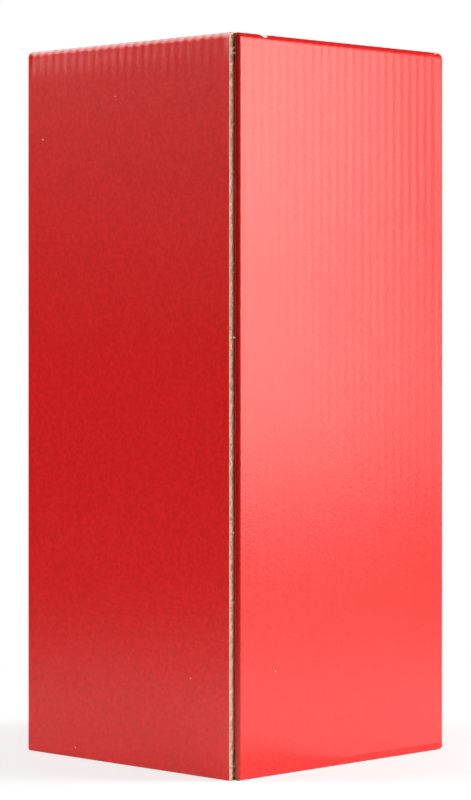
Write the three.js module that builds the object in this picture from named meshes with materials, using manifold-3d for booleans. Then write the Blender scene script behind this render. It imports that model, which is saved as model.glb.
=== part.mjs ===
import * as THREE from "three";
import { mergeGeometries, mergeVertices } from "three/addons/utils/BufferGeometryUtils.js";
import Module from "manifold-3d";

// A tall folding carton of fine corrugated board, die-cut from one sheet and folded.
// Four walls close at a glued joint on the near left corner, where the left wall's cut edge
// lies over a glue flap. The lid hangs on the back wall and tucks behind the front wall.
// The bottom is a snap lock: a slotted flap, two side flaps, and a last flap whose tongue
// goes through the slot. Millimetres, z up, origin at the centre of the base.
// The back wall faces -y and the left wall faces -x.

const HEIGHT = 200; // crest of the bottom folds to crest of the top folds
const BACK_WIDTH = 85.4; // back and front walls, outside
const SIDE_WIDTH = 83; // left and right walls, outside

const BOARD = 1.55;
const LINER = 0.3;
const MEDIUM = 0.22;
const FLUTE_PITCH = 3.34;
const WASHBOARD = 0.05; // how deep the outer face dips between two flutes
const MOUTH_DEPTH = 3; // how far the flute channels are open at a cut end
const EDGE_GROOVE = 1; // depth of the gap between the liners on a cut along the flutes

const CORNER_RADIUS = 1.32; // outside of the four upright folds
const TOP_RADIUS = 1.86; // outside of the folds round the top
const BOTTOM_RADIUS = 0.8; // outside of the folds round the bottom
const DIP_RADIUS = 1; // where a flap levels out behind its fold
const DIP_ANGLE = THREE.MathUtils.degToRad(50); // how steeply a flap dips behind its fold

const JOINT_SETBACK = 1.69; // cut edge of the left wall, back from the outer face of the back wall
const GLUE_PRESS = 0.02;
const GLUE_FLAP_WIDTH = 18;
const GLUE_FLAP_TAPER = 7;
const GLUE_FLAP_DROP = 6; // below the top folds and above the bottom folds

const CORNER_SLIT = 2.2; // a flap's side, in from the upright fold beside it
const HINGE_GAP = 0.3;
const LID_GAP = 0.3; // under the lid, above the side flaps
const LID_SIDE_GAP = 0.35;
const LID_FRONT_GAP = 0.4;
const TUCK_LENGTH = 16;
const TUCK_LEAN = THREE.MathUtils.degToRad(8);
const TUCK_CORNER_RADIUS = 9;
const FRONT_EDGE_DROP = 0.8; // cut top edge of the front wall, below the top folds

const DUST_LENGTH = 36;
const DUST_FRONT_SETBACK = 6; // leaves room for the tuck flap
const DUST_BACK_SETBACK = 2.4;
const DUST_CHAMFER = 9;
const DUST_ROOT = 4.1; // width of the strip along the fold that keeps its full length

const LAYER_GAP = 0.2; // between the flaps of the bottom
const SLOT_FLAP_LENGTH = 43.5;
const SLOT_FLAP_TAPER = 4;
const SLOT_DEPTH = 8;
const TONGUE_WIDTH = 33;
const TONGUE_CLEARANCE = 0.7;
const TONGUE_LENGTH = 12; // beyond the slot
const TONGUE_CORNER_RADIUS = 5;
const RAMP_RUN = 14;
const LOCK_SHOULDER = 17; // length of the sloping shoulder beside the tongue
const SIDE_FLAP_LENGTH = 32;
const SIDE_FLAP_CHAMFER = 16;
const SIDE_FLAP_SETBACK = 4.6;

const ARC_STEPS = 5;
const RIB_STEPS = 4;
const OVERLAP = 1; // how far the solids of one sheet run into each other
const WALL_LAP = 4; // how far a fold's section runs along its wall

const RED = 0xb81a1a;

const wasm = await Module();
wasm.setup();

const point = (x, y) => new THREE.Vector2(x, y);

function solidFrom(geometry) {
  const bare = geometry.clone();
  bare.deleteAttribute("normal");
  bare.deleteAttribute("uv");
  const merged = mergeVertices(bare, 1e-5);
  return new wasm.Manifold(
    new wasm.Mesh({
      numProp: 3,
      vertProperties: merged.attributes.position.array,
      triVerts: new Uint32Array(merged.index.array),
    }),
  );
}

function geometryFrom(solid) {
  const mesh = solid.getMesh();
  const geometry = new THREE.BufferGeometry();
  geometry.setAttribute("position", new THREE.BufferAttribute(mesh.vertProperties, 3));
  geometry.setIndex(new THREE.BufferAttribute(mesh.triVerts, 1));
  geometry.computeVertexNormals();
  return geometry;
}

// The corners of a line with an arc of the given radius at each inner corner.
function filleted(corners, radii) {
  const line = [corners[0]];
  for (let i = 1; i < corners.length - 1; i += 1) {
    const corner = corners[i];
    const radius = radii[i - 1];
    if (radius <= 0) {
      line.push(corner);
      continue;
    }
    const back = corners[i - 1].clone().sub(corner).normalize();
    const ahead = corners[i + 1].clone().sub(corner).normalize();
    const half = Math.acos(THREE.MathUtils.clamp(back.dot(ahead), -1, 1)) / 2;
    const centre = back.clone().add(ahead).normalize();
    centre.multiplyScalar(radius / Math.sin(half)).add(corner);
    const start = back.clone().multiplyScalar(radius / Math.tan(half)).add(corner).sub(centre);
    const turn = Math.sign(ahead.cross(back)) * (Math.PI - 2 * half);
    for (let k = 0; k <= ARC_STEPS; k += 1) {
      line.push(start.clone().rotateAround(point(0, 0), (turn * k) / ARC_STEPS).add(centre));
    }
  }
  line.push(corners[corners.length - 1]);
  return line;
}

// The line moved sideways, to its left, by a distance.
function offsetLeft(corners, distance) {
  return corners.map((corner, i) => {
    const before = corner.clone().sub(corners[Math.max(i - 1, 0)]);
    const after = corners[Math.min(i + 1, corners.length - 1)].clone().sub(corner);
    const first = (i > 0 ? before : after).normalize();
    const second = (i < corners.length - 1 ? after : before).normalize();
    const a = point(-first.y, first.x);
    const b = point(-second.y, second.x);
    return a.clone().add(b).multiplyScalar(distance / (1 + a.dot(b))).add(corner);
  });
}

// A straight stretch of the outer face with the shallow dips that the flutes leave in it.
function ribbed(line) {
  const ribs = [];
  for (let i = 0; i < line.length - 1; i += 1) {
    ribs.push(line[i]);
    const along = line[i + 1].clone().sub(line[i]);
    const count = Math.floor(along.length() / FLUTE_PITCH) - 1;
    if (count < 2) continue;
    along.normalize();
    const inward = point(-along.y, along.x);
    const lead = (line[i].distanceTo(line[i + 1]) - count * FLUTE_PITCH) / 2;
    for (let k = 0; k <= count * RIB_STEPS; k += 1) {
      const dip = (WASHBOARD * (1 - Math.cos((2 * Math.PI * k) / RIB_STEPS))) / 2;
      const at = lead + (k * FLUTE_PITCH) / RIB_STEPS;
      ribs.push(line[i].clone().addScaledVector(along, at).addScaledVector(inward, dip));
    }
  }
  ribs.push(line[line.length - 1]);
  return ribs;
}

// The section of a board whose outer face follows the corners, with the board on their left.
function boardSection(corners, radii, finish = (line) => line) {
  const outer = finish(filleted(corners, radii));
  const innerRadii = radii.map((radius, i) => {
    const first = corners[i + 1].clone().sub(corners[i]);
    const second = corners[i + 2].clone().sub(corners[i + 1]);
    return first.cross(second) > 0 ? radius - BOARD : radius + BOARD;
  });
  const inner = filleted(offsetLeft(corners, BOARD), innerRadii);
  return new THREE.Shape([...outer, ...inner.reverse()]);
}

// A section drawn in x and y, standing between two heights.
function upright(shape, low, high) {
  const geometry = new THREE.ExtrudeGeometry(shape, { depth: high - low, bevelEnabled: false });
  return solidFrom(geometry.translate(0, 0, low));
}

// A section drawn in y and z, running along x.
function alongX(shape, low, high) {
  const geometry = new THREE.ExtrudeGeometry(shape, { depth: high - low, bevelEnabled: false });
  const turn = new THREE.Matrix4().makeBasis(
    new THREE.Vector3(0, 1, 0),
    new THREE.Vector3(0, 0, 1),
    new THREE.Vector3(1, 0, 0),
  );
  return solidFrom(geometry.applyMatrix4(turn).translate(low, 0, 0));
}

// A section drawn in x and z, running along y.
function alongY(shape, low, high) {
  const geometry = new THREE.ExtrudeGeometry(shape, { depth: high - low, bevelEnabled: false });
  const turn = new THREE.Matrix4().makeBasis(
    new THREE.Vector3(1, 0, 0),
    new THREE.Vector3(0, 0, 1),
    new THREE.Vector3(0, -1, 0),
  );
  return solidFrom(geometry.applyMatrix4(turn).translate(0, high, 0));
}

function block(low, high) {
  const size = high.clone().sub(low);
  const middle = low.clone().add(high).multiplyScalar(0.5);
  const box = new THREE.BoxGeometry(size.x, size.y, size.z);
  return solidFrom(box.translate(middle.x, middle.y, middle.z));
}

// One flute channel seen from its end, between a liner and the wavy medium.
// side is 1 for a channel that opens to the liner at y = BOARD, and -1 for the other liner.
function channelOutline(centre, side) {
  const swing = (BOARD - 2 * LINER - MEDIUM) / 2;
  const reach = 0.36 * FLUTE_PITCH;
  const middle = BOARD / 2;
  const steps = 4;
  const outline = [];
  for (let k = 0; k <= steps; k += 1) {
    const x = -reach + (2 * reach * k) / steps;
    const wave = -swing * Math.cos((2 * Math.PI * x) / FLUTE_PITCH) + MEDIUM / 2;
    outline.push(point(centre + x, middle + side * wave));
  }
  outline.push(point(centre + reach, middle + side * (middle - LINER)));
  outline.push(point(centre - reach, middle + side * (middle - LINER)));
  return outline;
}

// The channels that open at a cut end across the flutes, as one group of prisms.
// start is the corner of the cut end, across runs along it, through goes through the board
// from its inner face to its outer face, and out points away from the board.
function fluteMouths(width, start, across, through, out) {
  const count = Math.floor(width / FLUTE_PITCH);
  const lead = (width - count * FLUTE_PITCH) / 2;
  const prisms = [];
  for (let k = 0; k < count; k += 1) {
    const sides = k < count - 1 ? [1, -1] : [1];
    for (const side of sides) {
      const centre = lead + (k + (side > 0 ? 0.5 : 1)) * FLUTE_PITCH;
      const shape = new THREE.Shape(channelOutline(centre, side));
      const options = { depth: MOUTH_DEPTH + OVERLAP, bevelEnabled: false };
      prisms.push(new THREE.ExtrudeGeometry(shape, options).translate(0, 0, -MOUTH_DEPTH));
    }
  }
  const merged = mergeGeometries(prisms);
  const turn = new THREE.Matrix4().makeBasis(across, through, out).setPosition(start);
  return solidFrom(merged.applyMatrix4(turn));
}

// How far the meeting point of a wall's face and a dipping flap's face lies past the fold's crest.
function crestOvershoot(radius) {
  const bend = radius * (Math.cos(DIP_ANGLE) - 1);
  return bend + radius * (1 + Math.sin(DIP_ANGLE)) * Math.tan(DIP_ANGLE);
}

// How far in from the wall's face a dipping flap is, at a depth below the crest.
function dipReach(radius, depth) {
  return (crestOvershoot(radius) + depth) / Math.tan(DIP_ANGLE);
}

const left = -BACK_WIDTH / 2;
const right = BACK_WIDTH / 2;
const back = -SIDE_WIDTH / 2;
const front = SIDE_WIDTH / 2;
const jointEdge = back + JOINT_SETBACK;
const sideOfX = (side, inward) => side * (right - inward);

// The four walls between the folds round the bottom and the folds round the top.
function walls() {
  const glueFace = left + BOARD - GLUE_PRESS;
  const low = BOTTOM_RADIUS;
  const high = HEIGHT - TOP_RADIUS;
  const stub = jointEdge + BOARD;
  const backAndRight = [
    point(glueFace, stub),
    point(glueFace, back),
    point(right, back),
    point(right, front),
    point(0, front),
  ];
  const frontAndLeft = [
    point(OVERLAP, front),
    point(left, front),
    point(left, jointEdge),
  ];
  const corners = [CORNER_RADIUS, CORNER_RADIUS, CORNER_RADIUS];
  const first = upright(boardSection(backAndRight, corners, ribbed), low, high);
  const second = upright(boardSection(frontAndLeft, corners.slice(0, 1), ribbed), low, high);
  return first.add(second);
}

// The flap that goes on from the back wall, glued behind the left wall.
function glueFlap() {
  const near = back + BOARD / 2;
  const far = near + GLUE_FLAP_WIDTH;
  const low = BOTTOM_RADIUS + GLUE_FLAP_DROP;
  const high = HEIGHT - TOP_RADIUS - GLUE_FLAP_DROP;
  const outline = new THREE.Shape([
    point(near, low),
    point(far, low + GLUE_FLAP_TAPER),
    point(far, high - GLUE_FLAP_TAPER),
    point(near, high),
  ]);
  const face = left + BOARD - GLUE_PRESS;
  return alongX(outline, face, face + BOARD);
}

// The gap between the liners on the left wall's cut edge, which runs along the flutes.
function jointGroove() {
  return block(
    new THREE.Vector3(left + LINER, jointEdge - OVERLAP, -OVERLAP),
    new THREE.Vector3(left + BOARD - LINER, jointEdge + EDGE_GROOVE, HEIGHT - TOP_RADIUS),
  );
}

// The front wall above the other walls, with its cut edge and open flutes.
function frontTop() {
  const high = HEIGHT - FRONT_EDGE_DROP;
  const low = HEIGHT - TOP_RADIUS - OVERLAP;
  const inset = CORNER_SLIT;
  const strip = block(
    new THREE.Vector3(left + inset, front - BOARD, low),
    new THREE.Vector3(right - inset, front, high),
  );
  return strip;
}

function frontMouths() {
  const inset = CORNER_SLIT;
  return fluteMouths(
    BACK_WIDTH - 2 * inset,
    new THREE.Vector3(left + inset, front - BOARD, HEIGHT - FRONT_EDGE_DROP),
    new THREE.Vector3(1, 0, 0),
    new THREE.Vector3(0, 1, 0),
    new THREE.Vector3(0, 0, 1),
  );
}

// A side flap's section: up the wall, over the fold's crest, down the dip and level again.
function dippingSection(side, crest, radius, depth, length, upwards) {
  const rise = upwards ? 1 : -1;
  const wallEnd = crest - rise * WALL_LAP;
  const corners = [
    point(length, crest - rise * depth),
    point(dipReach(radius, depth), crest - rise * depth),
    point(0, crest + rise * crestOvershoot(radius)),
    point(0, wallEnd),
  ];
  if (!upwards) corners.reverse();
  const radii = upwards ? [DIP_RADIUS, radius] : [radius, DIP_RADIUS];
  const section = boardSection(corners, radii);
  return new THREE.Shape(section.getPoints().map((p) => point(sideOfX(side, p.x), p.y)));
}

// A flap under the lid, on the left wall (side -1) or the right wall (side 1).
function dustFlap(side) {
  const nearEdge = side < 0 ? jointEdge : back + CORNER_SLIT;
  const farEdge = front - CORNER_SLIT;
  const depth = BOARD + LID_GAP;
  const section = dippingSection(side, HEIGHT, TOP_RADIUS, depth, DUST_LENGTH, true);
  const strip = alongY(section, nearEdge, farEdge);
  const backEdge = back + BOARD + DUST_BACK_SETBACK;
  const frontEdge = front - BOARD - DUST_FRONT_SETBACK;
  const outline = [
    [-OVERLAP, nearEdge - OVERLAP],
    [DUST_ROOT, nearEdge - OVERLAP],
    [DUST_ROOT, backEdge],
    [DUST_LENGTH - DUST_CHAMFER, backEdge],
    [DUST_LENGTH, backEdge + DUST_CHAMFER],
    [DUST_LENGTH, frontEdge - DUST_CHAMFER],
    [DUST_LENGTH - DUST_CHAMFER, frontEdge],
    [DUST_ROOT, frontEdge],
    [DUST_ROOT, farEdge + OVERLAP],
    [-OVERLAP, farEdge + OVERLAP],
  ].map(([inward, y]) => point(sideOfX(side, inward), y));
  const stencil = upright(new THREE.Shape(outline), HEIGHT / 2, HEIGHT + OVERLAP);
  const mouths = fluteMouths(
    frontEdge - backEdge - 2 * DUST_CHAMFER,
    new THREE.Vector3(
      sideOfX(side, DUST_LENGTH),
      side < 0 ? backEdge + DUST_CHAMFER : frontEdge - DUST_CHAMFER,
      HEIGHT - depth - BOARD,
    ),
    new THREE.Vector3(0, -side, 0),
    new THREE.Vector3(0, 0, 1),
    new THREE.Vector3(-side, 0, 0),
  );
  return strip.intersect(stencil).subtract(mouths);
}

// The back wall's top fold and the lid as one section, in y and z.
function lidCorners() {
  const tip = front - BOARD - LID_FRONT_GAP;
  const lean = TUCK_LENGTH * Math.tan(TUCK_LEAN);
  return [
    point(tip - lean, HEIGHT - TUCK_LENGTH),
    point(tip, HEIGHT),
    point(back, HEIGHT),
    point(back, HEIGHT - WALL_LAP),
  ];
}

// Everything on one side of the plane that parts the lid from the back wall's fold.
// The plane goes through the hinge line, down and forwards at 45 degrees.
function beyondHinge(lidSide) {
  const far = 3 * SIDE_WIDTH;
  const shift = (HINGE_GAP / 2) * Math.SQRT2;
  const above = [point(0, 0), point(far, -far), point(far, far), point(-far, far)];
  const below = [point(0, 0), point(-far, far), point(-far, -far), point(far, -far)];
  const corners = lidSide ? above : below;
  const lift = lidSide ? shift : -shift;
  const shape = new THREE.Shape(corners.map((p) => point(p.x + back, p.y + HEIGHT + lift)));
  return alongX(shape, -far, far);
}

const lidHalfWidth = right - dipReach(TOP_RADIUS, BOARD) - LID_SIDE_GAP / Math.sin(DIP_ANGLE);

// The part of the back wall's top fold that stays on the wall.
function backTopFold() {
  const section = boardSection(lidCorners(), [TOP_RADIUS, TOP_RADIUS]);
  const glueFace = left + BOARD - GLUE_PRESS;
  const middle = alongX(section, -lidHalfWidth - LID_SIDE_GAP, lidHalfWidth + LID_SIDE_GAP);
  const ends = [
    [glueFace, -lidHalfWidth - LID_SIDE_GAP],
    [lidHalfWidth + LID_SIDE_GAP, right - BOARD],
  ].map(([low, high]) => {
    const curl = block(
      new THREE.Vector3(low, back - OVERLAP, HEIGHT - WALL_LAP - OVERLAP),
      new THREE.Vector3(high, back + BOARD, HEIGHT + OVERLAP),
    );
    return alongX(section, low, high).intersect(curl);
  });
  const low = middle.intersect(beyondHinge(false));
  const edge = low.add(ends[0]).add(ends[1]);
  const rounding = [
    point(glueFace, front),
    point(glueFace, back),
    point(right, back),
    point(right, front),
  ];
  const plan = new THREE.Shape(filleted(rounding, [CORNER_RADIUS, CORNER_RADIUS]));
  return edge.intersect(upright(plan, HEIGHT / 2, HEIGHT + OVERLAP));
}

// A snap-lock flap's levels, counted from the outermost.
const layer = (count) => count * (BOARD + LAYER_GAP);

// The last flap to close, on the back wall: shoulders, then a tongue that climbs through the slot.
function lockFlap() {
  const slotBottom = front - SLOT_FLAP_LENGTH + SLOT_DEPTH;
  const rampEnd = slotBottom;
  const rampStart = rampEnd - RAMP_RUN;
  const tip = slotBottom + TONGUE_LENGTH;
  const corners = [
    point(back, WALL_LAP),
    point(back, 0),
    point(rampStart, 0),
    point(rampEnd, layer(3)),
    point(tip, layer(3)),
  ];
  const section = boardSection(corners, [BOTTOM_RADIUS, DIP_RADIUS, DIP_RADIUS + BOARD]);
  const half = right - dipReach(BOTTOM_RADIUS, BOARD) - LAYER_GAP / Math.sin(DIP_ANGLE);
  const tongue = TONGUE_WIDTH / 2;
  const shoulder = rampStart - LOCK_SHOULDER;
  const outline = [
    point(half, back - OVERLAP),
    point(half, shoulder),
    point(tongue, rampStart),
    point(tongue, tip),
    point(-tongue, tip),
    point(-tongue, rampStart),
    point(-half, shoulder),
    point(-half, back - OVERLAP),
  ];
  const radii = [0, 0, TONGUE_CORNER_RADIUS, TONGUE_CORNER_RADIUS, 0, 0];
  const plan = new THREE.Shape(filleted(outline, radii));
  const strip = alongX(section, left + BOARD, right - CORNER_RADIUS);
  return strip.intersect(upright(plan, -OVERLAP, HEIGHT / 2));
}

// The first flap to close, on the front wall, with the slot for the tongue in its end.
function slotFlap() {
  const depth = layer(2);
  const corners = [
    point(front, WALL_LAP),
    point(front, -crestOvershoot(BOTTOM_RADIUS)),
    point(front - dipReach(BOTTOM_RADIUS, depth), depth),
    point(front - SLOT_FLAP_LENGTH, depth),
  ].map((p) => point(-p.x, p.y));
  const mirrored = boardSection(corners, [BOTTOM_RADIUS, DIP_RADIUS]);
  const section = new THREE.Shape(mirrored.getPoints().map((p) => point(-p.x, p.y)));
  const root = right - CORNER_SLIT;
  const half = right - SIDE_FLAP_SETBACK;
  const end = front - SLOT_FLAP_LENGTH;
  const slot = TONGUE_WIDTH / 2 + TONGUE_CLEARANCE;
  const outline = [
    [root, front + OVERLAP],
    [root, front - BOARD],
    [half, front - SIDE_FLAP_SETBACK],
    [half - SLOT_FLAP_TAPER, end],
    [slot, end],
    [slot, end + SLOT_DEPTH],
  ];
  const rightHalf = outline.map(([x, y]) => point(x, y));
  const leftHalf = outline.map(([x, y]) => point(-x, y)).reverse();
  const plan = new THREE.Shape([...rightHalf, ...leftHalf]);
  return alongX(section, -root, root).intersect(upright(plan, -OVERLAP, HEIGHT / 2));
}

// A bottom side flap, on the left wall (side -1) or the right wall (side 1).
function bottomSideFlap(side) {
  const nearEdge = side < 0 ? jointEdge : back + CORNER_SLIT;
  const farEdge = front - CORNER_SLIT;
  const section = dippingSection(side, 0, BOTTOM_RADIUS, layer(1), SIDE_FLAP_LENGTH, false);
  const strip = alongY(section, nearEdge, farEdge);
  const rampStart = front - SLOT_FLAP_LENGTH + SLOT_DEPTH - RAMP_RUN;
  const clearOfTongue = right - TONGUE_WIDTH / 2 - TONGUE_CLEARANCE;
  const root = dipReach(BOTTOM_RADIUS, layer(1));
  const outline = [
    [-OVERLAP, nearEdge - OVERLAP],
    [root, nearEdge - OVERLAP],
    [root, back + BOARD + LAYER_GAP],
    [SIDE_FLAP_LENGTH - SIDE_FLAP_CHAMFER, back + BOARD + LAYER_GAP],
    [SIDE_FLAP_LENGTH, back + BOARD + LAYER_GAP + SIDE_FLAP_CHAMFER],
    [SIDE_FLAP_LENGTH, rampStart - TONGUE_CLEARANCE],
    [clearOfTongue, rampStart - TONGUE_CLEARANCE],
    [clearOfTongue, front - SIDE_FLAP_SETBACK - SIDE_FLAP_CHAMFER],
    [clearOfTongue - SIDE_FLAP_CHAMFER, front - SIDE_FLAP_SETBACK],
    [root, front - SIDE_FLAP_SETBACK],
    [root, farEdge + OVERLAP],
    [-OVERLAP, farEdge + OVERLAP],
  ].map(([inward, y]) => point(sideOfX(side, inward), y));
  const stencil = upright(new THREE.Shape(outline), -OVERLAP, HEIGHT / 2);
  return strip.intersect(stencil);
}

function cartonBody() {
  const pieces = [
    glueFlap(),
    frontTop(),
    dustFlap(-1),
    dustFlap(1),
    backTopFold(),
    lockFlap(),
    slotFlap(),
    bottomSideFlap(-1),
    bottomSideFlap(1),
  ];
  const sheet = pieces.reduce((whole, piece) => whole.add(piece), walls());
  return sheet.subtract(jointGroove()).subtract(frontMouths());
}

// The lid with the tuck flap at its front, cut at the hinge.
function lid() {
  const section = boardSection(lidCorners(), [TOP_RADIUS, TOP_RADIUS]);
  const strip = alongX(section, -lidHalfWidth, lidHalfWidth).intersect(beyondHinge(true));
  const tip = HEIGHT - TUCK_LENGTH;
  const outline = [
    point(lidHalfWidth, HEIGHT + OVERLAP),
    point(lidHalfWidth, tip),
    point(-lidHalfWidth, tip),
    point(-lidHalfWidth, HEIGHT + OVERLAP),
  ];
  const radii = [TUCK_CORNER_RADIUS, TUCK_CORNER_RADIUS];
  const stencil = alongY(new THREE.Shape(filleted(outline, radii)), 2 * back, 2 * front);
  const width = 2 * (lidHalfWidth - TUCK_CORNER_RADIUS);
  const outward = new THREE.Vector3(0, -Math.sin(TUCK_LEAN), -Math.cos(TUCK_LEAN));
  const through = new THREE.Vector3(0, Math.cos(TUCK_LEAN), -Math.sin(TUCK_LEAN));
  const across = through.clone().cross(outward);
  const [end] = lidCorners();
  const start = new THREE.Vector3(-across.x * (width / 2), end.x, end.y);
  start.addScaledVector(through, -BOARD);
  return strip.intersect(stencil).subtract(fluteMouths(width, start, across, through, outward));
}

const printedBoard = new THREE.MeshStandardMaterial({
  color: RED,
  roughness: 0.35,
  metalness: 0,
});

const body = new THREE.Mesh(geometryFrom(cartonBody()), printedBoard);
body.name = "carton_body";

const lidFlap = new THREE.Mesh(geometryFrom(lid()), printedBoard.clone());
lidFlap.name = "lid_flap";

const carton = new THREE.Group();
carton.add(body, lidFlap);

export default carton;
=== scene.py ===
import math
import random

import bmesh
import bpy
import numpy as np
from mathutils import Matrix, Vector


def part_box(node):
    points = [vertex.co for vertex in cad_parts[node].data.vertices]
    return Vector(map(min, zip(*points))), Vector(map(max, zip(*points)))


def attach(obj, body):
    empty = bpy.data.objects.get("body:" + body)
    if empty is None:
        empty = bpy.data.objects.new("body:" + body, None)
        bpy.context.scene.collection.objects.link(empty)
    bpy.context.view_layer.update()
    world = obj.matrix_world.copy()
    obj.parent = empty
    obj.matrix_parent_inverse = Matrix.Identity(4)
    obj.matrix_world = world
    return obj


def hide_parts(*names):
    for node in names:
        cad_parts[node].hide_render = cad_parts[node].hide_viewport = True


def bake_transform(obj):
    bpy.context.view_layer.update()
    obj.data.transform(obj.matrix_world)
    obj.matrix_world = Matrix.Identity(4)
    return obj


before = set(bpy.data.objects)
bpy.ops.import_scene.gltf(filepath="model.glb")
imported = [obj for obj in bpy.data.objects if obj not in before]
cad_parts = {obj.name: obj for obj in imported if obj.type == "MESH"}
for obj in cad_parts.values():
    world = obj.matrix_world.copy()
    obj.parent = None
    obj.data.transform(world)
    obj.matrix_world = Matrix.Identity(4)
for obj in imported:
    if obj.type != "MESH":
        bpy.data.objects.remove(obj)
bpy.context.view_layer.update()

LOW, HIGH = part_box("carton_body")
MM = 0.001

# The carton, in metres. The back wall faces -y and the left wall faces -x.
HEIGHT = HIGH.z
LEFT = LOW.x
RIGHT = HIGH.x
BACK = LOW.y
FRONT = HIGH.y
WIDTH = RIGHT - LEFT
DEPTH = FRONT - BACK

# The board: two liners with a wavy middle layer between them.
BOARD = 1.55 * MM
LINER = 0.3 * MM
MEDIUM = 0.2 * MM
PITCH = 3.34 * MM
FLUTE_SWING = (BOARD - 2 * LINER - MEDIUM) / 2
SKIN = 0.02 * MM  # keeps the dressed model inside the frame's box

# Folds. A fold's path begins on the wall, FOLD_LEAD away from the fold.
CORNER_RADIUS = 1.32 * MM  # the upright fold at the joint
FAR_RADIUS = 0.5 * MM  # the other three upright folds are pressed sharper
TOP_RADIUS = 1.86 * MM
FOLD_START = HEIGHT - TOP_RADIUS  # where the top folds begin
BOTTOM_RADIUS = 0.5 * MM
KRAFT_START = 1.2 * MM  # where the bare inner faces begin above the ground
DIP_RADIUS = 1.0 * MM
LEAST_RADIUS = 0.05 * MM
DIP_ANGLE = math.radians(50)
FOLD_LEAD = 6 * MM
PATH_STEP = 5 * MM
STOPS_START = 2.6 * MM  # past this, a path has extra points where its flap's outline turns
PINCH = 0.02 * MM  # how narrow the top of an upright fold gets

# The joint at the near corner: the left wall's cut edge laps over the glue flap.
JOINT_SETBACK = 1.69 * MM
JOINT_GAP = 0.22 * MM
GLUE_FLAP_WIDTH = 18 * MM
GLUE_FLAP_TAPER = 7 * MM
GLUE_FLAP_DROP = 8 * MM

# The lid with its tuck flap, and the two flaps under the lid.
LID_SIDE = 4.49 * MM
LID_OVERLAP = 0.3 * MM
CURL_REACH = 1.3 * BOARD
LID_FRONT_GAP = 0.4 * MM
LID_STEP = 3 * MM
NEAR_STEP = 0.45 * MM  # closer steps beside the crease, where the nick reaches over the lid
NEAR_STEPS = 18
NEAR_GAP = 0.3 * MM
LID_COLUMNS = 6 * 23 + 1
LID_RIB_DEPTH = 0.02 * MM
CREASE_SIDE = 0.1 * MM  # how much shorter the crease is than the lid, at each end
TUCK_LENGTH = 16 * MM
TUCK_LEAN = math.radians(8)
TUCK_CORNER = 9 * MM
FRONT_EDGE_DROP = 0.8 * MM
DUST_LENGTH = 36 * MM
DUST_ROOT = 4.1 * MM
DUST_CHAMFER = 9 * MM
DUST_CLEARANCE = 0.3 * MM
DUST_BACK_CUT = BOARD + 2.4 * MM
DUST_FRONT_CUT = BOARD + 6 * MM
DUST_RADII = [TOP_RADIUS, DIP_RADIUS]
TINY = 0.02 * MM  # the width of a step in a flap's outline

# The bottom flaps, one LAYER apart.
LAYER = 1.75 * MM
CORNER_SLIT = 2.2 * MM
SLOT_FLAP_LENGTH = 43.5 * MM
SLOT_DEPTH = 8 * MM
SLOT_FLAP_TAPER = 4 * MM
TONGUE = 16.5 * MM  # half its width
TONGUE_CLEARANCE = 0.7 * MM
TONGUE_LENGTH = 12 * MM
TONGUE_ROUND = 5 * MM
RAMP_RUN = 14 * MM
LOCK_SHOULDER = 17 * MM
LOCK_SIDE_GAP = 0.3 * MM
SIDE_FLAP_LENGTH = 32 * MM
SIDE_FLAP_CHAMFER = 16 * MM
SIDE_FLAP_SETBACK = 4.6 * MM
SIDE_FLAP_GAP = 0.2 * MM

# The nick in the back wall's top fold.
NICK_PLACE = 12.6 * MM
NICK_WIDTH = 2.9 * MM
NICK_DEPTH = 0.72 * MM
NICK_INSET = 1.7 * MM  # where it is deepest, from the back wall's face
NICK_DROP = 1.4 * MM  # how far it reaches down the fold from there
NICK_RUN = 6 * MM  # how far it reaches over the lid from there
NICK_PUSH = 0.3  # how far it is pushed inwards, as a share of its depth
NICK_ROUNDNESS = 0.6
NICK_RAG = 0.25  # how uneven its bottom is, as a share of its depth
NICK_WAVES = (9000, 7000)
NICK_STEP = 0.12 * MM
BARE_REACH = 0.08  # pulp shows where the nick is at least this near
BARE_END = 2.6 * MM
BARE_FADE = 60
PULP_SLOT = 2

# Ribs and other unevenness of the walls.
RIB_DEPTH = 0.028 * MM
ROLL_RIB_DEPTH = 0.12 * MM
RIB_MARGIN = 1.2 * MM  # ribs fade out this close to an upright fold
LEFT_RIBS = (1.6, 0.15, 3)  # strength at the top, share of it at the bottom, and steepness
OTHER_RIBS = (0.7, 0.3, 2)
LEFT_FOLD_RIBS = 1.5
SHOULDER_HEIGHT = 3.5 * MM  # the left wall leans in over this height below its top fold
SHOULDER_DEPTH = 0.26 * MM
WAVE_DEPTH = 0.02 * MM  # slow waves over each wall
WAVE_ALONG = 61
WAVE_UP = 23
WAVE_SHIFT = 900
WAVE_MARGIN = 6 * MM

WELD = 2e-6
FINE_WELD = 1e-7
SHARP_ANGLE = 0.7
SLACK = 1e-6  # places this close count as one

# The photograph's view.
AZIMUTH = math.radians(-45.36)
DISTANCE = 3.857 * HEIGHT
EYE_HEIGHT = 0.6 * HEIGHT
SIDESTEP = 0.00227 * HEIGHT
LENS = 130.4
SENSOR = 36
SHIFT_Y = -0.086

RED = (0.50, 0.0098, 0.0098)
KRAFT = (0.46, 0.30, 0.17)
KRAFT_EDGE = (0.56, 0.39, 0.26)
CUT_FLUTE = (0.66, 0.46, 0.31)
PULP = (0.93, 0.87, 0.76)

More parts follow.
